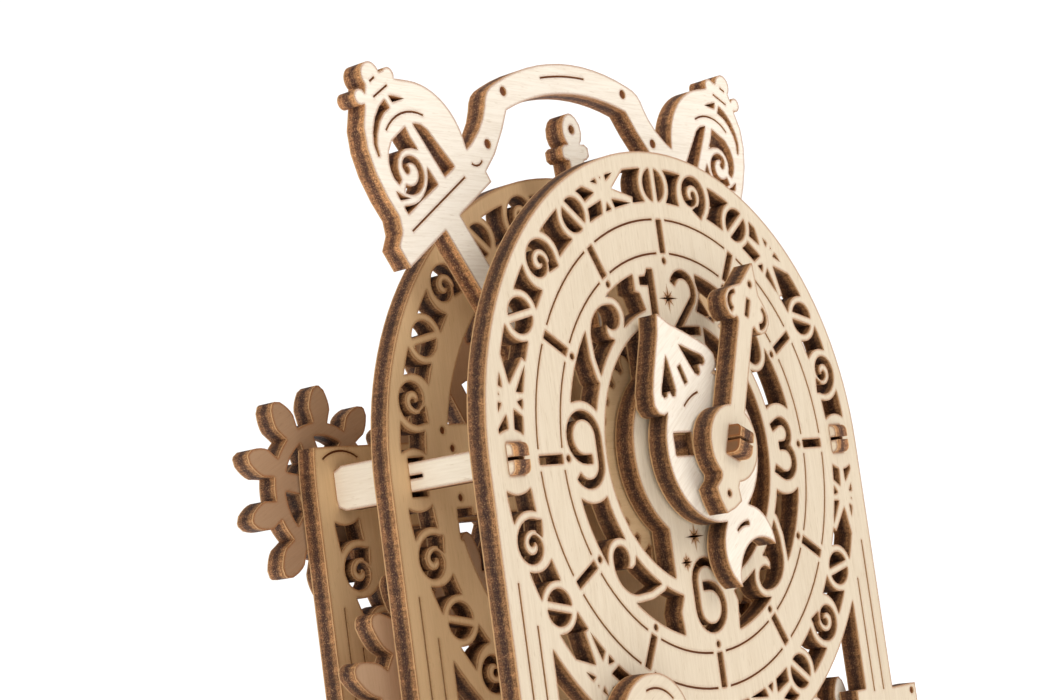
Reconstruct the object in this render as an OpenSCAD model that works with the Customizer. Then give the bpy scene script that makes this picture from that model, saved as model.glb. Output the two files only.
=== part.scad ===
// Twin-bell alarm clock model built from laser-cut birch plywood.
// Plates are drawn as seen from the front: first number to the right, second number up,
// both measured from the centre of the dial. Depths are measured back from the dial's front face.

/* [Plywood] */
// Thickness of the plywood
ply = 3; // [2.9:0.05:3.1]
// Depth of the engraved lines
groove_depth = 0.25; // [0.1:0.05:0.5]
// Width of the engraved lines
groove_w = 0.3; // [0.2:0.05:0.4]

/* [Body] */
// Height of the dial centre above the floor
dial_h = 64.5; // [64:0.5:67]
// Radius of the arched top of the plates
arch_r = 41; // [40.6:0.1:41.4]
// Half width of the foot
foot_half = 47.3; // [46.5:0.1:48]
// Height of the rear plate above the dial centre
rear_top = 6.3; // [6:0.1:7]

/* [Pose] */
// Angle of the minute hand from twelve, clockwise
minute_angle = 22.5; // [0:0.5:360]
// Tilt of the bell plate to the left
bell_tilt = 3.8; // [-4.5:0.1:4.5]

/* [Gears] */
// Turn of the thumb wheel from the line between the axles
thumb_phase = 16; // [0:1:35]
// Turn of the winding gear from the line between the axles
winding_phase = 3; // [-7.5:0.1:7.5]
// Teeth on the winding gear
winding_teeth = 24; // [20:2:24]
// Teeth on the centre pinion that it drives
centre_teeth = 12; // [12:1:14]
// Teeth on the rear gear
rear_teeth = 20; // [18:1:22]
// Petals on the thumb wheel
thumb_teeth = 10; // [10:1:12]

/* [Hidden] */
$fn = 72;

cream = [0.91, 0.84, 0.74];
bright = [0.95, 0.90, 0.82];
tan_ply = [0.78, 0.67, 0.53];

// Depth of each layer, from the front face of the dial to the layer's own front face
front_y = -18;
minute_hand_d = -7.2;
hour_hand_d = -3.7;
front_d = 0;
hour_wheel_d = 3.4;
motion_d = 6.8;
bell_d = 10.2;
middle_d = 16.5;
drive_d = 22.75;
rear_d = 29.8;
rear_wheel_d = 33.2;
collar_d = rear_wheel_d + ply + 0.4;

// Running fit of a strip that turns in a round hole
run = 0.06;
strip_w = 3;
strip_h = 4;
strip_bore = norm([strip_w, strip_h]) / 2 + run;
dowel_r = 1.5;

// Axle places in the plates
bar_x = 36;
bar_z = 0.4;
rear_bar_z = 1;
tenon_h = 4;
waist_h = 3.7;
middle_slot_h = 5;
bar_bore = norm([strip_w, tenon_h]) / 2 + run;
rail_x = 44;
rail_z = -56;
rail_waist_h = 4.6;
winding_at = [-19.8, -35];
winding_pad_r = 4.8;
thumb_at = [-bar_x, rear_bar_z];
corner_at = [32, -46];
motion_dist = 19;
motion_a = -20;
motion_at = motion_dist * [cos(motion_a), sin(motion_a)];

// Disc and post that carry the axles in the middle plate
middle_hub_r = 17;
middle_post_w = 26;
middle_post_h = 62;

// Border band of the plates
band_in = 34.1;
band_out = 38.65;
band_mid = (band_in + band_out) / 2;
window_half = 33.9;
window_floor = -35.8;
shoulder_z = -36.4;

// ---------------------------------------------------------------- outlines

function unit(v) = v / norm(v);
function left_of(v) = [-v[1], v[0]];
function along(p, i) = unit(p[min(i + 1, len(p) - 1)] - p[max(i - 1, 0)]);
function half_w(w0, w1, i, n) = (w0 + (w1 - w0) * i / n) / 2;

// Outline of a stroke that follows the points p and widens from w0 to w1
function ribbon(p, w0, w1) = let (n = len(p) - 1) concat(
    [for (i = [0:n]) p[i] + left_of(along(p, i)) * half_w(w0, w1, i, n)],
    [for (i = [n:-1:0]) p[i] - left_of(along(p, i)) * half_w(w0, w1, i, n)]);

// Points on an arc round c from angle a0 to angle a1
function arc(c, r, a0, a1, n = 10) =
    [for (i = [0:n]) c + r * [cos(a0 + (a1 - a0) * i / n), sin(a0 + (a1 - a0) * i / n)]];

function polar(r, a) = r * [cos(a), sin(a)];
// The points p on the right side for s = 1, or their mirror image for s = -1
function sided(p, s) = [for (q = p) [s * q[0], q[1]]];

// Twice the area of an outline, negative when its points run clockwise
function twice_area(p, i = 0) =
    i < len(p) ? cross(p[i], p[(i + 1) % len(p)]) + twice_area(p, i + 1) : 0;
function turned(p) = [for (i = [len(p) - 1:-1:0]) p[i]];

// Closed outline whose points always run anticlockwise
module outline(p) {
    polygon(twice_area(p) > 0 ? p : turned(p));
}

module stroke(p, w0, w1) {
    outline(ribbon(p, w0, w1));
}

module ring(r_out, r_in) {
    difference() {
        circle(r_out);
        circle(r_in);
    }
}

module line(a, b, w = groove_w) {
    stroke([a, b], w, w);
}

module dots(places, r) {
    for (p = places) translate(p) circle(r, $fn = 24);
}

// ---------------------------------------------------------------- sheets

// A flat piece of plywood with its front face at depth d
module sheet(d, t = ply) {
    translate([0, front_y + d + t, dial_h])
        rotate([90, 0, 0]) linear_extrude(t) children();
}

// Shallow engraving in the front face of the sheet at depth d
module engraved(d) {
    translate([0, front_y + d + groove_depth, dial_h])
        rotate([90, 0, 0]) linear_extrude(groove_depth + 1) children();
}

// A strip on edge: its outline is drawn with depth to the right and height up
module strip(x, z, t = strip_w) {
    translate([x - t / 2, front_y, dial_h + z])
        rotate([90, 0, 90]) linear_extrude(t) children();
}

// ---------------------------------------------------------------- border ornament

// Spiral slot that ends in a flare; it turns clockwise on the way out for s = 1
module spiral_slot(s = 1) {
    turns = 420;
    steps = 26;
    path = [for (i = [0:steps])
        polar(0.4 + 2.3 * pow(i / steps, 0.75), 10 - turns * i / steps)];
    stroke(sided(path, s), 0.85, 1.45);
    translate([s * path[0][0], path[0][1]]) circle(0.55, $fn = 24);
    tip = path[steps];
    outline(sided([tip + [-1.5, -0.05], tip + [-0.55, 0.8],
        tip + [0.9, 0.4], tip + [0.55, -0.9]], s));
}

// Spirals at 16.4 degrees past every sixty for s = 1, or before every sixty for s = -1
module band_spirals(s) {
    for (k = [0:5]) {
        rotate(s * (16.4 + 60 * k)) translate([36.4, 0]) rotate(-90) spiral_slot(s);
    }
}

module spiral_pads(s) {
    for (k = [0:5]) translate(polar(36.2, s * (15.8 + 60 * k))) circle(3.85);
}

// Eight-armed star that bridges the band; the arms are tapered bars
module band_star() {
    circle(1.45);
    arms = [[-4.3, 2.3, 0.9], [-5.6, -0.9, 0.9], [-0.6, 2.4, 0.7], [1.0, 2.4, 0.7],
        [5.9, 2.3, 0.8], [5.5, -2.7, 0.9], [-1.5, -2.8, 0.75], [0.9, -2.8, 0.75]];
    for (a = arms) stroke([[0, 0], [a[0], a[1]]], 1.7, a[2]);
}

// Angle of the bar across the round opening at angle a of the band
function bar_angle(a) = let (side = sign(cos(a) * sin(a)))
    abs(cos(a)) < 0.1 ? 90 : (abs(cos(a)) < 0.6 ? 36 : -12) * side;

module half_moons(a) {
    difference() {
        circle(2.35);
        rotate(bar_angle(a)) square([6, 1.05], center = true);
    }
}

// Solid rings round the half moons and round the slots of the spacer bars
module round_pads() {
    for (a = [30:30:330]) {
        if (a % 180 != 0) translate(polar(band_mid, a)) circle(3.35);
    }
    for (a = [0, 180]) translate(polar(band_mid, a)) circle(4.1);
}

module all_half_moons() {
    for (a = [30:30:330]) {
        if (a % 180 != 0) translate(polar(band_mid, a)) half_moons(a);
    }
}

// Border openings of the dial plate: spirals and stars by turns
module dial_band() {
    difference() {
        ring(band_out, band_in);
        round_pads();
        spiral_pads(1);
        for (k = [0:5]) {
            rotate(47.6 + 60 * k) translate([36.7, 0]) rotate(-90) band_star();
        }
    }
    all_half_moons();
    band_spirals(1);
}

// Border openings of the two plates behind the dial: spirals only
module spiral_band() {
    difference() {
        ring(band_out, band_in);
        round_pads();
        spiral_pads(1);
        spiral_pads(-1);
    }
    all_half_moons();
    band_spirals(1);
    band_spirals(-1);
}

// ---------------------------------------------------------------- plates

module arched_outline() {
    circle(arch_r, $fn = 144);
    translate([-arch_r, shoulder_z]) square([2 * arch_r, -shoulder_z]);
    translate([-foot_half, -dial_h]) square([2 * foot_half, dial_h + shoulder_z]);
}

// The openings beside the ring above the foot
module spandrels() {
    difference() {
        union() {
            translate([-window_half, window_floor]) square([2 * window_half, 20]);
            translate([-31.5, -46.5]) square([63, 15]);
        }
        circle(arch_r, $fn = 144);
        translate([-6, -50]) square([12, 20]);
    }
}

// Spandrels and the border openings given, left solid round the winding axle
module lace_openings(top = 50) {
    difference() {
        union() {
            spandrels();
            children();
        }
        translate(winding_at) circle(winding_pad_r);
        translate([-50, top]) square([100, 60]);
    }
}

module bar_slots(h, z = bar_z) {
    for (s = [-1, 1]) translate([s * bar_x, z]) square([strip_w, h], center = true);
}

module rail_slots(h = tenon_h) {
    for (s = [-1, 1]) translate([s * rail_x, rail_z]) square([strip_w, h], center = true);
}

module leg_lines() {
    for (s = [-1, 1]) {
        line([38.6 * s, -14.6], [38.6 * s, -36.4]);
        line([36.1 * s, -20], [36.1 * s, -36.4]);
    }
}

module foot_lines() {
    for (s = [-1, 1]) {
        translate([46.1 * s, -37.4]) circle(0.5, $fn = 24);
        line([44.5 * s, -40], [44.5 * s, -50]);
    }
    line([-24, -50], [24, -50]);
    line([-18, -52.5], [18, -52.5]);
}

// ---------------------------------------------------------------- dial

module figure_one() {
    translate([-4.3, 17.4]) square([1.4, 7.3]);
    outline([[-6.1, 22.5], [-6.1, 23.6], [-4.8, 23.7], [-4.1, 24.7], [-4.1, 22.5]]);
}

module figure_two() {
    stroke(concat(arc([3.3, 21.8], 2.35, 155, -30), [[1.0, 16.6]]), 1.15, 1.15);
    translate([0.3, 15.75]) square([5.8, 1.15]);
}

module figure_three() {
    stroke(concat([[19.7, 2.5]], arc([22, 1.65], 1.75, 120, -90)), 1.15, 1.15);
    stroke(concat(arc([22, -2.25], 2.15, 90, -120), [[19.3, -3.2]]), 1.15, 1.15);
    translate([21, -0.65]) square([1.4, 1.15]);
}

// The figure nine round the centre of its bowl; turned over it is the six
module figure_nine() {
    stroke(concat([[1.2, -2.85]], arc([0, 0], 2.85, 270, 0, 18),
        arc([0.2, -3.4], 2.65, 0, -145)), 1.15, 1.15);
}

// Eight-pointed twinkle
module twinkle(r_long, r_short) {
    outline([for (i = [0:15]) polar(i % 2 == 1 ? 0.42 : (i % 4 == 0 ? r_long : r_short),
        i * 22.5)]);
}

// Curled opening beside each numeral, drawn for the lower left quarter
module curl() {
    translate([-18.1, -13.2]) circle(1.65);
    outline(concat([[-18.6, -11.8]], arc([-15.35, -13.6], 4.4, 180, 268, 8),
        [[-12.8, -17.8]], arc([0, 0], 19.95, 238.6, 221, 5),
        [[-15.3, -14.1], [-16.1, -14.6], [-17.3, -14.4]]));
}

// The leaf-shaped openings between the curls and the numerals
module quarter_openings() {
    difference() {
        ring(25, 19.9);
        for (a = [0:90:270]) rotate(a) offset(r = 1.05) curl();
        translate([-22.4, 2.6]) circle(4.7);
        translate([-21.8, -1.3]) circle(4.65);
        translate([21.7, 1.4]) circle(4.6);
        translate([21.5, -2.2]) circle(4.8);
        outline([[-7.4, 26], [-7.4, 21.6], [-6.4, 21.3], [-5.3, 18.5],
            [5.3, 18.5], [7, 21.3], [6.5, 23], [6.4, 26]]);
        outline([[-6.7, -26], [-7.1, -21], [-5.8, -18.5],
            [4.9, -18.5], [5.9, -20.5], [5.2, -26]]);
    }
}

// C-shaped gaps between the small disc and the ring of numerals
module centre_gaps() {
    difference() {
        ring(18.1, 12.4);
        translate([-7, 0]) square([13.8, 20]);
        translate([-7.2, -20]) square([14.2, 20]);
    }
}

module ticks() {
    for (a = [0:30:330]) rotate(a) {
        translate([27, -0.575]) square([4.6, 1.15]);
        translate([25.9, 0]) circle(0.42, $fn = 24);
    }
}

module dial_lines() {
    difference() {
        union() {
            ring(31.6 + groove_w / 2, 31.6 - groove_w / 2);
            ring(26.95 + groove_w / 2, 26.95 - groove_w / 2);
        }
        for (a = [0:30:330]) rotate(a) translate([20, -1.4]) square([15, 2.8]);
    }
}

module dial_openings() {
    circle(9);
    centre_gaps();
    quarter_openings();
    for (a = [0:90:270]) rotate(a) curl();
    ticks();
    figure_one();
    figure_two();
    figure_three();
    translate([-22.3, 2.6]) figure_nine();
    translate([-0.4, -20.9]) rotate(180) figure_nine();
    translate([-0.2, 20.75]) twinkle(2.2, 1.5);
    translate([-1.9, -11.4]) twinkle(2.2, 1.5);
    translate([-4.4, -14.7]) twinkle(1.3, 1);
    translate([-1.2, 16.4]) circle(0.45, $fn = 24);
}

module front_plate() {
    color(cream) difference() {
        sheet(front_d) difference() {
            arched_outline();
            lace_openings() dial_band();
            dial_openings();
            bar_slots(tenon_h);
            rail_slots();
            translate(winding_at) circle(strip_bore);
            translate(corner_at) circle(dowel_r + run);
        }
        engraved(front_d) {
            dial_lines();
            leg_lines();
            foot_lines();
        }
    }
}

// Space inside the ring of the two hidden plates, with a crossbar at the height of the axles
module skeleton_openings(bar_low, bar_high) {
    difference() {
        circle(30);
        translate([-31, bar_low]) square([62, bar_high - bar_low]);
        circle(8.5);
        translate(motion_at) circle(5);
    }
    translate([-29.5, bar_low - 3]) square([3, 4]);
}

module middle_plate() {
    color(tan_ply) difference() {
        sheet(middle_d) difference() {
            arched_outline();
            lace_openings() spiral_band();
            difference() {
                skeleton_openings(-5, 7);
                circle(middle_hub_r);
                square([middle_post_w, middle_post_h], center = true);
            }
            bar_slots(middle_slot_h);
            rail_slots(rail_waist_h);
            circle(strip_bore);
            translate(motion_at) circle(dowel_r + run);
            translate(winding_at) circle(strip_bore);
            translate(corner_at) circle(dowel_r + run);
        }
        engraved(middle_d) {
            leg_lines();
            dots([[-30.3, 6.2], [-28.8, 3.8], [-28.5, -2.6], [30.3, 6.2], [28.8, 3.8],
                [28.5, -2.6]], 0.5);
        }
    }
}

module rear_plate() {
    color(tan_ply) difference() {
        sheet(rear_d) difference() {
            arched_outline();
            translate([-50, rear_top]) square([100, 60]);
            lace_openings(3.5) spiral_band();
            skeleton_openings(-5, rear_top + 60);
            bar_slots(tenon_h, rear_bar_z);
            rail_slots();
            circle(strip_bore);
            translate(motion_at) circle(dowel_r + run);
            translate(winding_at) circle(strip_bore);
        }
        engraved(rear_d) {
            leg_lines();
            for (s = [-1, 1]) {
                stroke(arc([s * bar_x, 0], 5.7, 55, 125), groove_w, groove_w);
            }
        }
    }
}

// ---------------------------------------------------------------- bars and rails

tenon_out = 1;
slit_w = 0.45;
slit_len = 5;
bar_top = 3.2;
bar_low = -2.7;
bar_chamfer = 0.6;
middle_back = middle_d + ply;

// Split end of a strip: the corners are rounded and a slit lets the two prongs spring
module split_end(d, h, dir) {
    translate([d, 0]) difference() {
        translate([dir > 0 ? -slit_len : 0, -h / 2]) square([slit_len, h]);
        translate([dir > 0 ? -slit_len : 0, -slit_w / 2]) square([slit_len, slit_w]);
        for (s = [-1, 1]) translate([0, s * h / 2]) difference() {
            square([1.8, 1.8], center = true);
            translate([-dir * 0.9, -s * 0.9]) circle(0.9, $fn = 24);
        }
    }
}

// Outline of a spacer bar: thin at the front, tall between the middle and rear plates; its
// rear tenon sits a little higher than the front one
module bar_outline(back_end) {
    start = -tenon_out;
    split_end(start, tenon_h, -1);
    translate([0, rear_bar_z - bar_z]) {
        translate([middle_back, -tenon_h / 2])
            square([back_end - slit_len - middle_back, tenon_h]);
        split_end(back_end, tenon_h, 1);
    }
    difference() {
        translate([ply, -waist_h / 2]) square([middle_back - ply, waist_h]);
        translate([start, -slit_w / 2]) square([slit_len, slit_w]);
        translate([middle_d - 2.2, -slit_w / 2]) square([5, slit_w]);
    }
    outline([[middle_back, bar_low], [middle_back, bar_top], [rear_d - 1.4, bar_top],
        [rear_d, bar_top - bar_chamfer], [rear_d, bar_low + bar_chamfer], [rear_d - 1.4, bar_low]]);
}

module left_spacer_bar() {
    color(bright) strip(-bar_x, bar_z) bar_outline(collar_d + ply + tenon_out);
}

module right_spacer_bar() {
    color(bright) strip(bar_x, bar_z) bar_outline(rear_d + ply + tenon_out);
}

// Outline of a base rail: tall between the plates, with tenons through all three
module rail_outline() {
    rail_h = 7;
    translate([-tenon_out, -tenon_h / 2])
        square([rear_d + ply + 2 * tenon_out, tenon_h]);
    translate([ply, -rail_waist_h / 2]) square([middle_back - ply, rail_waist_h]);
    translate([middle_back, -rail_h / 2]) square([rear_d - middle_back, rail_h]);
}

module left_base_rail() {
    color(bright) strip(-rail_x, rail_z) rail_outline();
}

module right_base_rail() {
    color(bright) strip(rail_x, rail_z) rail_outline();
}

module thumb_wheel_collar() {
    color(tan_ply) sheet(collar_d) translate(thumb_at) difference() {
        circle(4.2);
        square([strip_w, tenon_h], center = true);
    }
}

// ---------------------------------------------------------------- bells and handle

bell_axis = 30;
bell_hub_r = 6.5;

// Half of the handle, seen from its middle to the junction with the bell
module handle_half(s) {
    outline(sided(concat(
        arc([0, 18.7], 37, 90, 67, 6), [[15.7, 52.2], [16.6, 51.5], [17.2, 50.6], [17.6, 49.5],
        [18.4, 47.9], [19.7, 46.2], [21.5, 44.5], [23.6, 43.1], [24, 40], [18.9, 39.3], [19.6, 40.7], [17.2, 43], [14.8, 46.3]],
        arc([0, 13.9], 37.5, 69.4, 90, 6)), s));
}

// Bell seen from the front, leaning out to the right
module bell_outline(s) {
    translate([38.6 * s, 53.3]) circle(1.7);
    translate([35.3 * s, 53.3]) circle(1.05);
    translate([41.1 * s, 50.4]) circle(1.05);
    outline(sided(concat([[36.4, 53.9], [34.5, 52.9]], arc([32.6, 42.8], 9.9, 95, 178, 12),
        [[22.5, 40.5], [18.9, 39.3], [37.3, 28.6], [38.8, 31.3], [37.7, 33.2], [37.8, 35.1],
        [39.3, 37.6], [40.7, 40.8], [41.4, 43.8], [41.4, 46.6], [40.4, 49.6], [39.8, 52]]), s));
}

module bell_openings(s) {
    stroke(sided([[36.4, 49.6], [37.6, 48.8], [38.7, 47.5], [39.5, 45.8], [39.8, 44.3],
        [39.5, 42.8]], s), 1.2, 0.35);
    outline(sided([[35.9, 50.7], [33, 50.3], [35.4, 49.8]], s));
    outline(sided([[32.3, 47.1], [30.8, 46.9], [29.8, 46.3], [25.7, 41.4], [27.9, 40.1]], s));
    outline(sided(concat([[31, 41.4], [29.5, 39.1], [36, 35.4], [36.5, 36.3]],
        arc([35.9, 41.3], 4.9, 275, 182, 8)), s));
    outline(sided([[37.6, 38.4], [37, 37.2], [34.9, 37.4], [36.4, 37.7]], s));
    outline(sided([[36.7, 44.8], [33.8, 46.6], [33.2, 45.2], [32.1, 43.6], [33.3, 43.9],
        [34.5, 43.8], [35.5, 43.3], [36.2, 42.4], [36.5, 41.4], [36.4, 40.5], [36.1, 39.8],
        [36.7, 39.2], [37.4, 39.9], [37.8, 40.9], [37.9, 42], [37.6, 43.4]], s));
    bell_spiral(s);
}

// Spiral slot in the bell, from a small round eye outwards
module bell_spiral(s) {
    steps = 26;
    path = [for (i = [0:steps]) let (t = i / steps)
        [34.4, 40.8] + polar(0.5 + 2 * pow(t, 0.4), 31 + 270 * t)];
    stroke(sided(path, s), 0.8, 1.1);
    translate([s * path[0][0], path[0][1]]) circle(0.5, $fn = 24);
}

module bell_lines(s) {
    stroke(sided([[37.9, 53], [38.9, 52.4]], s), groove_w, groove_w);
    stroke(sided([[35.8, 52], [38.7, 50.4]], s), groove_w, groove_w);
    stroke(sided([[24, 40], [35.8, 33.2]], s), groove_w, groove_w);
    stroke(sided(arc([32.4, 42.2], 6.4, 112, 38, 8), s), groove_w, groove_w);
    stroke(sided(arc([21.3, 43.1], 1.6, 215, 305, 6), s), groove_w, groove_w);
}

// Arms that carry both bells on the hub at the dial centre
module bell_arm(s) {
    outline(sided([[2, -4], [9.7, -0.6], [29.7, 33.4], [26.5, 35.4], [6.3, 1.4], [-2, 4]], s));
}

module hammer() {
    translate([-1.6, 0]) square([3.2, 44]);
    outline([[-2.2, 42.1], [-2.9, 42.6], [-2.9, 43.8], [-2.2, 44.3], [2.2, 44.3],
        [2.9, 43.8], [2.9, 42.6], [2.2, 42.1]]);
    for (s = [-1, 1]) {
        outline(sided([[-0.1, 44], [1, 44], [1.75, 44.9], [2.05, 45.9], [1.9, 47.1],
            [1.25, 48.1], [0.5, 48.6], [-0.1, 48.7]], s));
    }
}

// Finger that rests over the three-lobed cam
module finger() {
    translate([5, -0.2]) square([14.5, 5]);
    translate([19.5, 2.3]) circle(2.5);
}

module bell_plate_outline() {
    circle(bell_hub_r);
    hammer();
    finger();
    for (s = [-1, 1]) {
        handle_half(s);
        bell_outline(s);
        bell_arm(s);
    }
}

module bell_plate() {
    color(bright) difference() {
        sheet(bell_d) rotate(bell_tilt) difference() {
            bell_plate_outline();
            for (s = [-1, 1]) bell_openings(s);
            circle(strip_bore);
            translate([0, 46.4]) circle(0.6, $fn = 24);
        }
        engraved(bell_d) rotate(bell_tilt) {
            for (s = [-1, 1]) bell_lines(s);
            dots([[-13.2, 51.6], [13.2, 51.6], [-18.3, 44.4], [18.3, 44.4]], 0.65);
            stroke(arc([0, 13.9], 40, 83, 97), groove_w, groove_w);
        }
    }
}

// ---------------------------------------------------------------- gears

pressure = 25;
function involute(a) = tan(a) - a * PI / 180;

// Half the angle that a tooth covers at radius r: an involute outside the base circle and a
// slowly narrowing foot inside it
function tooth_half(r, n, pitch_r, tooth_w, foot) =
    let (base = pitch_r * cos(pressure),
         middle = tooth_w / (2 * pitch_r) + involute(pressure))
    r >= base
        ? (middle - involute(acos(base / r))) * 180 / PI
        : middle * 180 / PI * (1 - foot * (base - r) / base);

// Outline of one tooth from the root circle to a rounded tip
function tooth_side(n, pitch_r, root, tip, tooth_w, foot) =
    let (base = pitch_r * cos(pressure), body = tip - 0.5)
    concat([for (i = [0:2]) let (r = root - 0.3 + (base - root + 0.3) * i / 3)
            [r, tooth_half(r, n, pitch_r, tooth_w, foot)]],
        [for (i = [0:4]) let (r = base + (body - base) * i / 4)
            [r, tooth_half(r, n, pitch_r, tooth_w, foot)]],
        [[tip - 0.18, 0.75 * tooth_half(tip, n, pitch_r, tooth_w, foot)],
            [tip, 0.35 * tooth_half(tip, n, pitch_r, tooth_w, foot)]]);

module tooth(n, pitch_r, root, tip, tooth_w, foot) {
    side = tooth_side(n, pitch_r, root, tip, tooth_w, foot);
    outline(concat([for (s = side) polar(s[0], s[1])],
        [for (i = [len(side) - 1:-1:0]) polar(side[i][0], -side[i][1])]));
}

// Toothed wheel with one tooth at angle 0
module gear(n, pitch_r, root, tip, play, foot = 1.2) {
    tooth_w = PI * pitch_r / n - play;
    circle(root);
    for (k = [0:n - 1]) rotate(k * 360 / n) tooth(n, pitch_r, root, tip, tooth_w, foot);
}

// Openings between the spokes of a wheel
module spoke_windows(count, r_in, r_out, spoke_w) {
    difference() {
        ring(r_out, r_in);
        for (k = [0:count - 1]) rotate(k * 360 / count)
            translate([0, -spoke_w / 2]) square([r_out + 1, spoke_w]);
    }
}

// Pitch radius of the first of two meshing wheels with n1 and n2 teeth at a distance
function pitch(dist, n1, n2) = dist * n1 / (n1 + n2);
// Direction from one axle to another
function heading(from, to) = atan2(to[1] - from[1], to[0] - from[0]);

// Turn of a wheel with n2 teeth that fits into a wheel with n1 teeth turned by phase
function mate(phase, n1, n2) = 180 + 180 / n2 - phase * n1 / n2;

// Winding gear and the centre pinion
winding_dist = norm(winding_at);
winding_heading = heading(winding_at, [0, 0]);
winding_pitch = pitch(winding_dist, winding_teeth, centre_teeth);
centre_pitch = winding_dist - winding_pitch;

module winding_gear() {
    color(tan_ply) sheet(drive_d) translate(winding_at) difference() {
        rotate(winding_heading + winding_phase)
            gear(winding_teeth, winding_pitch, winding_pitch - 3.9, winding_pitch + 1.5, 0.45, 0.9);
        rotate(20) spoke_windows(6, 7.5, 18, 3);
        square([strip_w, strip_h], center = true);
    }
}

module centre_pinion() {
    color(tan_ply) sheet(drive_d) difference() {
        rotate(winding_heading + mate(winding_phase, winding_teeth, centre_teeth))
            gear(centre_teeth, centre_pitch, centre_pitch - 3.6, centre_pitch + 1.5, 0.45, 0.9);
        rotate(-minute_angle) square([strip_w, strip_h], center = true);
        rotate(-minute_angle) for (s = [0, 180]) rotate(s) translate([5.6, 0]) circle(1.5);
    }
}

// Thumb wheel and the rear gear
thumb_dist = norm(thumb_at);
thumb_heading = heading(thumb_at, [0, 0]);
thumb_pitch = pitch(thumb_dist, thumb_teeth, rear_teeth);
rear_pitch = thumb_dist - thumb_pitch;

module thumb_wheel() {
    color(tan_ply) sheet(rear_wheel_d) translate(thumb_at) difference() {
        rotate(thumb_heading + thumb_phase)
            gear(thumb_teeth, thumb_pitch, thumb_pitch - 3, thumb_pitch + 1.9, 0.4, 1);
        rotate(thumb_heading + 50) spoke_windows(6, 4.7, 7.2, 2.6);
        circle(bar_bore);
    }
}

module rear_gear() {
    color(tan_ply) sheet(rear_wheel_d) difference() {
        rotate(thumb_heading + mate(thumb_phase, thumb_teeth, rear_teeth))
            gear(rear_teeth, rear_pitch, rear_pitch - 3.1, rear_pitch + 1.5, 0.7, 1);
        spoke_windows(6, 7, 16, 3);
        rotate(-minute_angle) square([strip_w, strip_h], center = true);
    }
}

// Motion work: the hour hand turns once while the minute hand turns twelve times
minute_n = 10;
wheel_n = 30;
pinion_n = 8;
hour_n = 32;
minute_pitch = pitch(motion_dist, minute_n, wheel_n);
wheel_pitch = motion_dist - minute_pitch;
pinion_pitch = pitch(motion_dist, pinion_n, hour_n);
hour_pitch = motion_dist - pinion_pitch;

module minute_pinion() {
    color(cream) sheet(motion_d) difference() {
        rotate(motion_a) gear(minute_n, minute_pitch, minute_pitch - 1.1, minute_pitch + 0.85,
            0.16, 0.6);
        rotate(-minute_angle) square([strip_w, strip_h], center = true);
    }
}

module intermediate_wheel() {
    color(cream) sheet(motion_d) translate(motion_at) difference() {
        rotate(motion_a + 180 + 180 / wheel_n)
            gear(wheel_n, wheel_pitch, wheel_pitch - 1.2, wheel_pitch + 0.65, 0.16, 0.6);
        circle(dowel_r);
        spoke_windows(5, 4.5, 10.5, 2.2);
    }
}

module intermediate_pinion() {
    color(cream) sheet(hour_wheel_d) translate(motion_at) difference() {
        rotate(motion_a + 180)
            gear(pinion_n, pinion_pitch, pinion_pitch - 1.05, pinion_pitch + 0.8, 0.16, 0.6);
        circle(dowel_r);
    }
}

// Three-lobed cam under the finger of the bell plate
module rocker_cam() {
    color(cream) sheet(bell_d) translate(motion_at) difference() {
        outline([for (a = [0:10:350]) polar(3.5 + 0.6 * cos(3 * (a - 30)), a)]);
        circle(dowel_r);
    }
}

module hour_wheel() {
    color(cream) sheet(hour_wheel_d) difference() {
        rotate(motion_a + 180 / hour_n)
            gear(hour_n, hour_pitch, hour_pitch - 1.2, hour_pitch + 0.6, 0.16, 0.6);
        circle(strip_bore);
        hour_tenon_slots();
    }
}

module intermediate_axle() {
    color(bright) translate([motion_at[0], front_y + rear_d + ply, dial_h + motion_at[1]])
        rotate([90, 0, 0]) cylinder(r = dowel_r, h = rear_d + ply - hour_wheel_d);
}

// ---------------------------------------------------------------- hands

hour_tenon_at = [6.4, -0.6];
hour_tenon_w = 4;
hour_tenon_inset = 1;

module hour_tenon_slots() {
    for (s = [-1, 1]) translate(s * hour_tenon_at)
        square([hour_tenon_w, strip_w], center = true);
}

module hour_tenon(side) {
    start = hour_hand_d + hour_tenon_inset;
    color(bright) sheet(start, hour_wheel_d + ply - start)
        translate(side * hour_tenon_at) square([hour_tenon_w, strip_w], center = true);
}

module left_hour_tenon() {
    hour_tenon(-1);
}

module right_hour_tenon() {
    hour_tenon(1);
}

// Leaf-shaped point of the hour hand, upright
leaf_half = [[1.6, 17.6], [3.4, 15.8], [5.6, 13.6], [7.3, 11.7], [8.1, 10.1],
    [7.8, 8.8], [6.9, 8.1], [5.6, 8.2]];

module leaf() {
    outline(concat([[0.1, 19.7]], leaf_half, sided(turned(leaf_half), -1), [[-0.1, 19.7]]));
}

// Teardrop opening with a small curl at its foot
module teardrop(s) {
    outline(sided([[1.7, 14.5], [3.6, 12.7], [5.2, 11.3], [5.7, 10.6], [5.5, 10], [4.9, 9.9],
        [4.4, 10.3], [3.9, 10.2], [3.8, 9.4], [3.2, 9.2], [2.6, 9.8], [2.2, 11.7]], s));
}

// Crescent at the tail of the hour hand
module crescent() {
    difference() {
        translate([5.4, -13.9]) circle(5.9);
        translate([7.9, -18.3]) circle(5.7);
    }
}

leaf_angle = 25;

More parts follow.
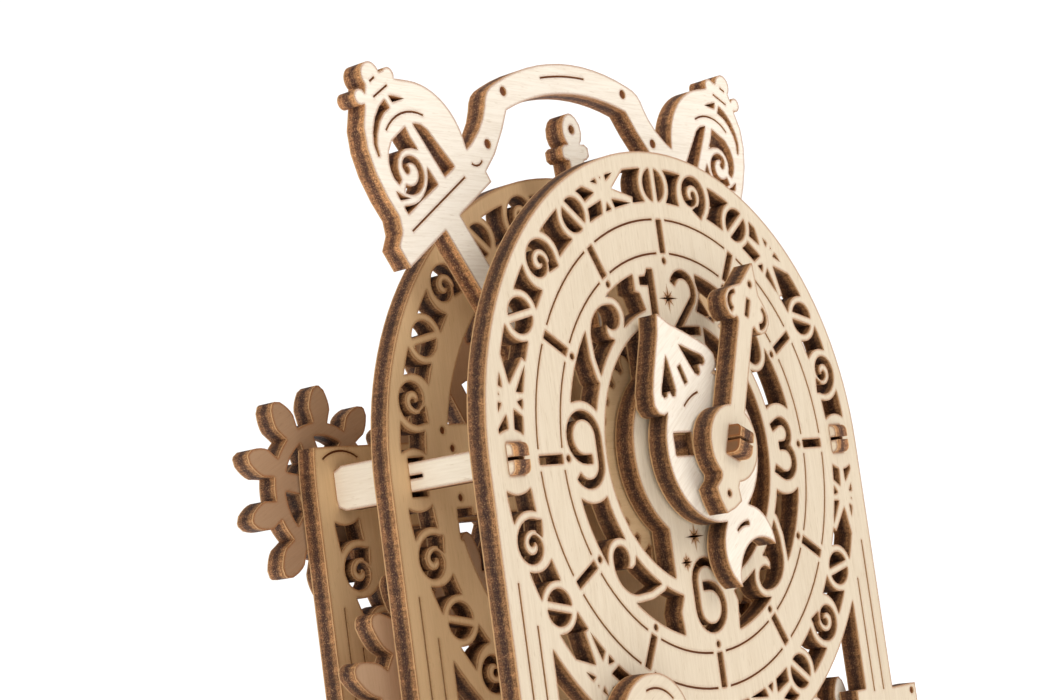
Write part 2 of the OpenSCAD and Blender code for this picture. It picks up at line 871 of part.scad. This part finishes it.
module hour_hand() {
    color(bright) difference() {
        sheet(hour_hand_d) difference() {
            union() {
                circle(10.1);
                rotate(leaf_angle) leaf();
                crescent();
            }
            rotate(leaf_angle) {
                teardrop(1);
                teardrop(-1);
                translate([-0.4, 9.5]) square([0.8, 2.6]);
            }
            stroke(arc([5.4, -14.5], 4, 130, 85, 6), 0.3, 0.6);
            circle(strip_bore);
            hour_tenon_slots();
        }
        engraved(hour_hand_d) {
            rotate(leaf_angle) stroke(arc([0, 0], 7.6, 78, 108), groove_w, groove_w);
        }
    }
}

// Half outline of the minute hand's arrow head and tail
head_half = [[0.1, 26.4], [2.1, 22.5], [3.9, 21.3], [4.7, 20.5], [5.1, 19.4], [4.7, 18.1],
    [3.7, 17.2], [2.6, 17.1], [2, 17.6], [1.65, 17.2], [1.65, 4]];
tail_half = [[2, -4.6], [1.9, -5.6], [2.8, -7.2], [1.6, -8.6], [0.1, -9.8]];

module minute_hand_outline() {
    circle(5.2);
    outline(concat(head_half, sided(turned(head_half), -1)));
    outline(concat(tail_half, sided(turned(tail_half), -1)));
}

module minute_hand() {
    color(cream) sheet(minute_hand_d) rotate(-minute_angle) difference() {
        minute_hand_outline();
        for (s = [-1, 1]) stroke(sided(arc([2.75, 19.5], 1.4, 75, -75, 8), s), 0.5, 0.9);
        translate([-0.4, 18.4]) square([0.8, 2.6]);
        translate([0, 23.2]) circle(0.45, $fn = 24);
        translate([0, -7.1]) circle(0.45, $fn = 24);
        square([strip_w, strip_h], center = true);
    }
}

// ---------------------------------------------------------------- axles and knob

axle_front = minute_hand_d - 2;
axle_back = rear_wheel_d + 2 * ply + tenon_out;

module minute_axle() {
    color(bright) translate([0, 0, dial_h]) rotate([0, minute_angle, 0])
        translate([0, 0, -dial_h]) strip(0, 0) {
            split_end(axle_front, strip_h, -1);
            translate([axle_front + slit_len, -strip_h / 2])
                square([axle_back - axle_front - slit_len, strip_h]);
        }
}

module rear_collar() {
    color(tan_ply) sheet(rear_wheel_d + ply) rotate(-minute_angle) difference() {
        circle(4.2);
        square([strip_w, strip_h], center = true);
    }
}

knob_r = 7.2;
knob_d = -ply - 0.4;

module winding_axle() {
    color(bright) strip(winding_at[0], winding_at[1])
        translate([knob_d, -strip_h / 2]) square([rear_d + ply - knob_d, strip_h]);
}

module winding_knob() {
    color(cream) difference() {
        sheet(knob_d) translate(winding_at) difference() {
            circle(knob_r);
            square([strip_w, strip_h], center = true);
        }
        engraved(knob_d) translate(winding_at)
            stroke(arc([0, 0], 5.3, 42, 105, 12), groove_w, groove_w);
    }
}

// ---------------------------------------------------------------- corner wheel

corner_teeth = 10;
corner_pitch = 10.5;

// Petal wheel behind the foot of the dial plate, on its own round stick
module corner_wheel() {
    color(tan_ply) sheet(hour_wheel_d) translate(corner_at) difference() {
        rotate(16) gear(corner_teeth, corner_pitch, corner_pitch - 2.9, corner_pitch + 1.9, 0.3, 1);
        spoke_windows(5, 3.8, 6, 2);
        circle(dowel_r);
    }
}

module corner_axle() {
    color(bright) translate([corner_at[0], front_y + middle_back, dial_h + corner_at[1]])
        rotate([90, 0, 0]) cylinder(r = dowel_r, h = middle_back);
}

front_plate();
middle_plate();
rear_plate();
left_spacer_bar();
right_spacer_bar();
left_base_rail();
right_base_rail();
thumb_wheel_collar();
bell_plate();
minute_axle();
minute_hand();
minute_pinion();
centre_pinion();
rear_gear();
rear_collar();
hour_hand();
hour_wheel();
left_hour_tenon();
right_hour_tenon();
intermediate_axle();
intermediate_wheel();
intermediate_pinion();
rocker_cam();
winding_axle();
winding_gear();
winding_knob();
thumb_wheel();
corner_wheel();
corner_axle();
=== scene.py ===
"""Looks for the plywood alarm clock model: bare laser-cut birch plywood with scorched edges."""
import math

import bpy
from mathutils import Matrix, Vector


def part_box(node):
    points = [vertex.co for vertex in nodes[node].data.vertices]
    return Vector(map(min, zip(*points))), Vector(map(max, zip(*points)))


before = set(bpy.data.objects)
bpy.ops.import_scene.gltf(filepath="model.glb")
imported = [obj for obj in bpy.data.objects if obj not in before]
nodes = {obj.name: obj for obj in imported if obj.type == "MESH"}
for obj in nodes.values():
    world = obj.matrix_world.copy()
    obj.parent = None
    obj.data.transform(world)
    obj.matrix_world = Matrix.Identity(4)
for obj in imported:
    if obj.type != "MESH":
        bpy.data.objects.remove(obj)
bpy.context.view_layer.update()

MM = 0.001
SHEET = 3 * MM              # thickness of the plywood
HALO_REACH = 0.85 * MM      # how far the scorch reaches from a cut
EDGE_ROUNDING = 0.06 * MM
RELIEF = 0.05 * MM          # depth of the grain's bump
MINUTE_ANGLE = 22.5         # of the minute hand from twelve, in degrees
UP, ACROSS, THROUGH = (0, 0, 1), (1, 0, 0), (0, 1, 0)


# ------------------------------------------------------------------ colour

def linear(r, g, b):
    """Scene colour for a colour given as 0 to 255 display values."""
    def one(v):
        v /= 255
        return v / 12.92 if v <= 0.04045 else ((v + 0.055) / 1.055) ** 2.4
    return (one(r), one(g), one(b), 1)


# Faces of the sheets and strips
CREAM = linear(215, 199, 175)
HONEY = linear(216, 181, 136)
TAN = linear(224, 188, 142)
BRIGHT = linear(238, 227, 211)
# WHEEL is darker partly for the wood's own tone and partly as painted shade on the wheels at the
# back
WHEEL = linear(178, 142, 110)
GEAR = linear(208, 172, 138)
STRIP = linear(238, 225, 204)
BROWN = linear(124, 88, 58)

# Scorched places: beside a cut, on an engraved floor, soot; then a pale tan for pale specks on the
# cut walls and for a painted highlight on the lip of a cut
RIM = linear(150, 88, 38)
BURNT = linear(98, 52, 20)
CHAR = linear(36, 19, 11)
LIP = linear(210, 166, 116)

# The three plies on a cut wall
FRONT_PLY = linear(178, 126, 80)
CORE_PLY = linear(86, 54, 38)
REAR_PLY = linear(150, 102, 66)


def darker(colour):
    """The dark figure of a wood of this colour."""
    return tuple(c * k for c, k in zip(colour[:3], (0.62, 0.52, 0.40))) + (1,)


# ------------------------------------------------------------------ node helpers

class Graph:
    """A material's nodes, made one at a time and linked by their outputs."""

    def __init__(self, name):
        self.material = bpy.data.materials.new(name)
        self.material.use_nodes = True
        self.tree = self.material.node_tree
        self.tree.nodes.clear()
        self.out = self.add("ShaderNodeOutputMaterial")

    def add(self, kind, **settings):
        node = self.tree.nodes.new(kind)
        for key, value in settings.items():
            setattr(node, key, value)
        return node

    def put(self, value, socket):
        """Links an output, or sets a plain value, on an input socket."""
        if isinstance(value, bpy.types.NodeSocket):
            self.tree.links.new(value, socket)
        else:
            socket.default_value = value

    def math(self, operation, a, b=0.0, clamp=False):
        node = self.add("ShaderNodeMath", operation=operation, use_clamp=clamp)
        self.put(a, node.inputs[0])
        self.put(b, node.inputs[1])
        return node.outputs[0]

    def vector(self, operation, a, b):
        node = self.add("ShaderNodeVectorMath", operation=operation)
        self.put(a, node.inputs[0])
        self.put(b, node.inputs[1])
        return node

    def dot(self, a, b):
        return self.vector("DOT_PRODUCT", a, b).outputs["Value"]

    def scaled(self, vector, scale):
        return self.vector("MULTIPLY", vector, scale).outputs[0]

    def centred(self, value, strength):
        """Moves a noise of 0 to 1 to both sides of zero, at the given strength."""
        return self.math("MULTIPLY", self.math("SUBTRACT", value, 0.5), strength)

    def along(self, normal, direction):
        """1 where the surface faces along the direction, 0 where it runs beside it."""
        return self.remap(self.math("ABSOLUTE", self.dot(normal, direction)), 0.6, 0.8)

    def noise(self, vector, scale, detail=3.0, rough=0.55):
        node = self.add("ShaderNodeTexNoise", noise_dimensions="3D")
        self.put(vector, node.inputs["Vector"])
        self.put(scale, node.inputs["Scale"])
        self.put(detail, node.inputs["Detail"])
        self.put(rough, node.inputs["Roughness"])
        return node.outputs["Fac"]

    def remap(self, value, low, high, to_low=0.0, to_high=1.0):
        node = self.add("ShaderNodeMapRange", interpolation_type="SMOOTHSTEP")
        self.put(value, node.inputs["Value"])
        self.put(low, node.inputs["From Min"])
        self.put(high, node.inputs["From Max"])
        self.put(to_low, node.inputs["To Min"])
        self.put(to_high, node.inputs["To Max"])
        return node.outputs["Result"]

    def mix(self, share, a, b, blend="MIX"):
        node = self.add("ShaderNodeMix", data_type="RGBA", blend_type=blend)
        self.put(share, node.inputs["Factor"])
        self.put(a, node.inputs["A"])
        self.put(b, node.inputs["B"])
        return node.outputs["Result"]

    def wood_surface(self, colour, roughness, relief):
        """Ends the material: a dull shader whose bump follows the relief."""
        shader = self.add("ShaderNodeBsdfPrincipled")
        self.put(colour, shader.inputs["Base Color"])
        self.put(roughness, shader.inputs["Roughness"])
        shader.inputs["Specular IOR Level"].default_value = 0.28
        bump = self.add("ShaderNodeBump")
        bump.inputs["Strength"].default_value = 0.5
        bump.inputs["Distance"].default_value = RELIEF
        self.put(relief, bump.inputs["Height"])
        self.put(bump.outputs[0], shader.inputs["Normal"])
        self.put(shader.outputs[0], self.out.inputs["Surface"])
        return self.material


def grain_scale(along, thick, fine, coarse):
    """Stretches noise along the grain: fine detail across it, coarse along it."""
    return tuple(coarse if abs(g) > 0.5 else fine * (0.35 if abs(t) > 0.5 else 1)
                 for g, t in zip(along, thick))


def plywood(name, face, thick, middle, grain, painted_light_on_walls=1.0, figure=1.0, swing=0.0):
    """Bare plywood. thick is the direction through the sheet and middle the sheet's mid
    plane along it; grain is the direction of the face grain, turned by swing degrees about
    the line from front to back; figure is the strength of the grain."""
    g = Graph(name)
    place = g.add("ShaderNodeTexCoord")
    where, normal = place.outputs["Object"], place.outputs["Normal"]
    spun = g.add("ShaderNodeVectorRotate", rotation_type="Y_AXIS")
    g.put(where, spun.inputs["Vector"])
    spun.inputs["Angle"].default_value = math.radians(swing)
    laid = spun.outputs[0]

    # Where on the sheet: 1 on the two faces, 0 on the cut walls, and the depth from -0.5 to 0.5
    facing = g.along(normal, thick)
    depth = g.math("DIVIDE", g.math("SUBTRACT", g.dot(where, thick), middle), SHEET)
    off_mid = g.math("ABSOLUTE", depth)

    # Face: fine streaks, broad bands, short flecks
    streak = g.noise(g.scaled(laid, grain_scale(grain, thick, 4200, 230)), 1.0, 4.0, 0.65)
    band = g.noise(g.scaled(laid, grain_scale(grain, thick, 420, 30)), 1.0, 2.0)
    fleck = g.noise(g.scaled(laid, grain_scale(grain, thick, 3600, 520)), 1.0, 1.0)
    cloud = g.noise(where, 55.0, 2.0)
    tone = g.math("ADD", g.centred(streak, 0.62 * figure), g.centred(band, 0.3))
    tone = g.math("ADD", tone, g.centred(cloud, 0.12))
    dark = darker(face)
    wood = g.mix(g.math("ADD", g.math("MULTIPLY", tone, -1.0), 0.10, clamp=True), face, dark)
    wood = g.mix(g.remap(fleck, 0.66, 0.74, 0.0, 0.3), wood, dark)

    # Engraved floors sit below the face
    engraved = g.remap(off_mid, 0.43, 0.455, 1.0, 0.0)
    wood = g.mix(engraved, wood, BURNT)

    # Scorched halo beside every cut
    soft = g.add("ShaderNodeBevel", samples=6)
    soft.inputs["Radius"].default_value = HALO_REACH
    true = g.add("ShaderNodeNewGeometry").outputs["True Normal"]
    turn = g.dot(soft.outputs[0], true)
    ragged = g.noise(where, 2600.0, 3.0)
    halo = g.remap(g.math("ADD", turn, g.math("MULTIPLY", ragged, 0.05)), 0.82, 1.02, 1.0, 0.0)
    wood = g.mix(g.math("MULTIPLY", halo, 0.95), wood, RIM)

    # Cut walls: three plies, the core darker, with streaks left by the cut
    cut_scale = tuple(260 if abs(t) > 0.5 else 2400 for t in thick)
    cut = g.noise(g.scaled(where, cut_scale), 1.0, 3.0, 0.65)
    wander = g.centred(g.noise(where, 1300.0, 4.0, 0.7), 0.42)
    core = g.remap(g.math("ADD", off_mid, wander), 0.08, 0.27, 1.0, 0.0)
    wall = g.mix(g.remap(depth, -0.1, 0.1, 0.0, 1.0), FRONT_PLY, REAR_PLY)
    wall = g.mix(core, wall, CORE_PLY)
    soot = g.noise(where, 5200.0, 3.0, 0.75)
    wall = g.mix(g.remap(soot, 0.46, 0.62, 0.0, 0.7), wall, CHAR)
    wall = g.mix(g.remap(soot, 0.44, 0.34, 0.0, 0.55), wall, LIP)
    patch = g.noise(where, 210.0, 2.0)
    wall = g.mix(g.remap(patch, 0.45, 0.75, 0.0, 0.3), wall, CHAR)
    # The cut streaks lift and lower the walls' colour, scaled by the part's painted light and
    # shade
    lift = g.remap(cut, 0.3, 0.75, 0.68 * painted_light_on_walls, 1.25 * painted_light_on_walls)
    lift_rgb = g.add("ShaderNodeCombineColor")
    for i in range(3):
        g.put(lift, lift_rgb.inputs[i])
    wall = g.mix(1.0, wall, lift_rgb.outputs[0], "MULTIPLY")
    glue = g.remap(g.math("ABSOLUTE", g.math("SUBTRACT", off_mid, 0.18)), 0.0, 0.03, 0.35, 0.0)
    wall = g.mix(glue, wall, CHAR)
    # Painted highlight: a pale band along each cut wall where it meets the faces
    lip = g.remap(g.math("ADD", off_mid, g.math("MULTIPLY", wander, 0.25)), 0.40, 0.48, 0.0, 0.8)
    wall = g.mix(lip, wall, LIP)

    return g.wood_surface(g.mix(facing, wall, wood), g.remap(facing, 0.0, 1.0, 0.72, 0.58),
                          g.mix(facing, cut, streak))


def dowel(name, face):
    """A turned stick, its grain from end to end and its sawn ends darker."""
    g = Graph(name)
    place = g.add("ShaderNodeTexCoord")
    where, normal = place.outputs["Object"], place.outputs["Normal"]
    streak = g.noise(g.scaled(where, (3600, 200, 3600)), 1.0, 4.0, 0.65)
    wood = g.mix(g.remap(streak, 0.4, 0.75, 0.0, 0.55), face, darker(face))
    pores = g.noise(where, 5200.0, 3.0, 0.75)
    sawn = g.mix(g.remap(pores, 0.45, 0.65), BROWN, CHAR)
    return g.wood_surface(g.mix(g.along(normal, THROUGH), wood, sawn), 0.6, streak)


# ------------------------------------------------------------------ the sheets

def dress(node, material):
    mesh = nodes[node].data
    mesh.materials.clear()
    mesh.materials.append(material)


def middle_of(node, thick):
    low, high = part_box(node)
    return (low + high).dot(Vector(thick)) / 2


# Node, face colour, grain, painted light and shade on its cut walls (above 1 painted lighter as if
# lit, below 1 painted darker as if shaded), strength and turn of its figure
for node, face, grain, walls_painted_light, figure, swing in (
        ("front_plate", CREAM, UP, 0.86, 1.2, 0),
        ("middle_plate", TAN, UP, 1.0, 0.9, 0),
        ("rear_plate", HONEY, UP, 1.0, 0.9, 0),
        ("bell_plate", BRIGHT, ACROSS, 1.45, 1.8, 0),
        ("hour_hand", BRIGHT, ACROSS, 0.75, 1.6, 35),
        ("minute_hand", CREAM, UP, 0.82, 1.0, -20),
        ("winding_knob", CREAM, ACROSS, 1.05, 1.0, 30),
        ("hour_wheel", HONEY, ACROSS, 0.9, 1.0, 0),
        ("intermediate_wheel", HONEY, UP, 0.9, 1.0, 0),
        ("intermediate_pinion", HONEY, UP, 0.9, 1.0, 0),
        ("minute_pinion", HONEY, ACROSS, 0.9, 1.0, 0),
        ("rocker_cam", HONEY, UP, 0.9, 1.0, 0),
        ("winding_gear", GEAR, UP, 1.0, 1.0, 0),
        ("centre_pinion", TAN, ACROSS, 0.9, 1.0, 0),
        ("rear_gear", WHEEL, UP, 1.0, 1.0, 0),
        ("thumb_wheel", WHEEL, ACROSS, 1.0, 1.0, 25),
        ("corner_wheel", BRIGHT, UP, 1.0, 1.0, 0),
        ("thumb_wheel_collar", TAN, UP, 1.0, 1.0, 0),
        ("rear_collar", TAN, UP, 1.0, 1.0, 0)):
    dress(node, plywood(node + "_ply", face, THROUGH, middle_of(node, THROUGH), grain, walls_painted_light,
                        figure=figure, swing=swing))

for node in ("left_spacer_bar", "right_spacer_bar", "left_base_rail", "right_base_rail",
             "winding_axle"):
    dress(node, plywood(node + "_ply", STRIP, ACROSS, middle_of(node, ACROSS), THROUGH, 1.2))
for node in ("left_hour_tenon", "right_hour_tenon"):
    dress(node, plywood(node + "_ply", BROWN, UP, middle_of(node, UP), THROUGH, 0.9))

# The minute axle's strip is turned with the hand
turn = math.radians(MINUTE_ANGLE)
askew = (math.cos(turn), 0, -math.sin(turn))
dress("minute_axle", plywood("minute_axle_ply", BROWN, askew,
                             middle_of("minute_axle", askew), THROUGH, 1.1))
for node in ("intermediate_axle", "corner_axle"):
    dress(node, dowel(node + "_stick", STRIP))

# A fine rounding of the cut edges, so that they catch the light
for thing in nodes.values():
    edge = thing.modifiers.new("edge", "BEVEL")
    edge.width = EDGE_ROUNDING
    edge.segments = 1
    edge.limit_method = "ANGLE"
    edge.angle_limit = math.radians(60)
    edge.use_clamp_overlap = True


# ------------------------------------------------------------------ stage

def floor_material():
    g = Graph("pale_floor")
    place = g.add("ShaderNodeTexCoord")
    shader = g.add("ShaderNodeBsdfPrincipled")
    speck = g.noise(place.outputs["Object"], 600.0, 2.0)
    g.put(g.mix(g.remap(speck, 0.3, 0.7, 0.0, 0.04), (0.93, 0.93, 0.93, 1), (0.85, 0.85, 0.86, 1)),
          shader.inputs["Base Color"])
    shader.inputs["Roughness"].default_value = 0.85
    shader.inputs["Specular IOR Level"].default_value = 0.1
    shader.inputs["Emission Color"].default_value = (1, 1, 1, 1)
    shader.inputs["Emission Strength"].default_value = 0.62
    g.put(shader.outputs[0], g.out.inputs["Surface"])
    return g.material


bpy.ops.mesh.primitive_plane_add(size=30, location=(0, 0, 0))
floor = bpy.context.object
floor.name = "floor"
floor.data.materials.append(floor_material())

# The backdrop is white to the camera, and lights the model more dimly
world = bpy.data.worlds.new("studio")
bpy.context.scene.world = world
world.use_nodes = True
sky = world.node_tree
backdrop = sky.nodes["Background"]
backdrop.inputs["Color"].default_value = (1.0, 1.0, 1.0, 1)
seen = sky.nodes.new("ShaderNodeLightPath")
level = sky.nodes.new("ShaderNodeMapRange")
level.inputs["To Min"].default_value = 0.52
level.inputs["To Max"].default_value = 1.1
sky.links.new(seen.outputs["Is Camera Ray"], level.inputs["Value"])
sky.links.new(level.outputs["Result"], backdrop.inputs["Strength"])


def softbox(name, place, target, size, power, colour=(1, 1, 1)):
    data = bpy.data.lights.new(name, "AREA")
    data.shape = "SQUARE"
    data.size = size
    data.energy = power
    data.color = colour
    lamp = bpy.data.objects.new(name, data)
    bpy.context.scene.collection.objects.link(lamp)
    lamp.location = place
    aim = Vector(target) - Vector(place)
    lamp.rotation_euler = aim.to_track_quat("-Z", "Y").to_euler()


softbox("key", (0.35, -0.75, 0.60), (0, 0, 0.07), 0.45, 3.4, (1.0, 0.985, 0.965))
softbox("fill", (-0.7, -0.32, 0.58), (0, 0, 0.06), 0.6, 2.2, (1.0, 0.99, 0.98))

# ------------------------------------------------------------------ camera

camera = bpy.data.objects.new("camera", bpy.data.cameras.new("camera"))
bpy.context.scene.collection.objects.link(camera)
camera.data.sensor_width = 36
camera.data.lens = 78.14
camera.data.clip_start = 0.01
camera.data.clip_end = 60
right = Vector((0.64656, -0.75104, -0.13377))
down = Vector((-0.00441, 0.17167, -0.98514))
ahead = Vector((0.76285, 0.63755, 0.10769))
turned = Matrix((right, -down, -ahead)).transposed().to_4x4()
camera.matrix_world = Matrix.Translation((-0.2470, -0.1981, 0.0479)) @ turned
bpy.context.scene.camera = camera
bpy.context.scene.view_settings.view_transform = "Standard"
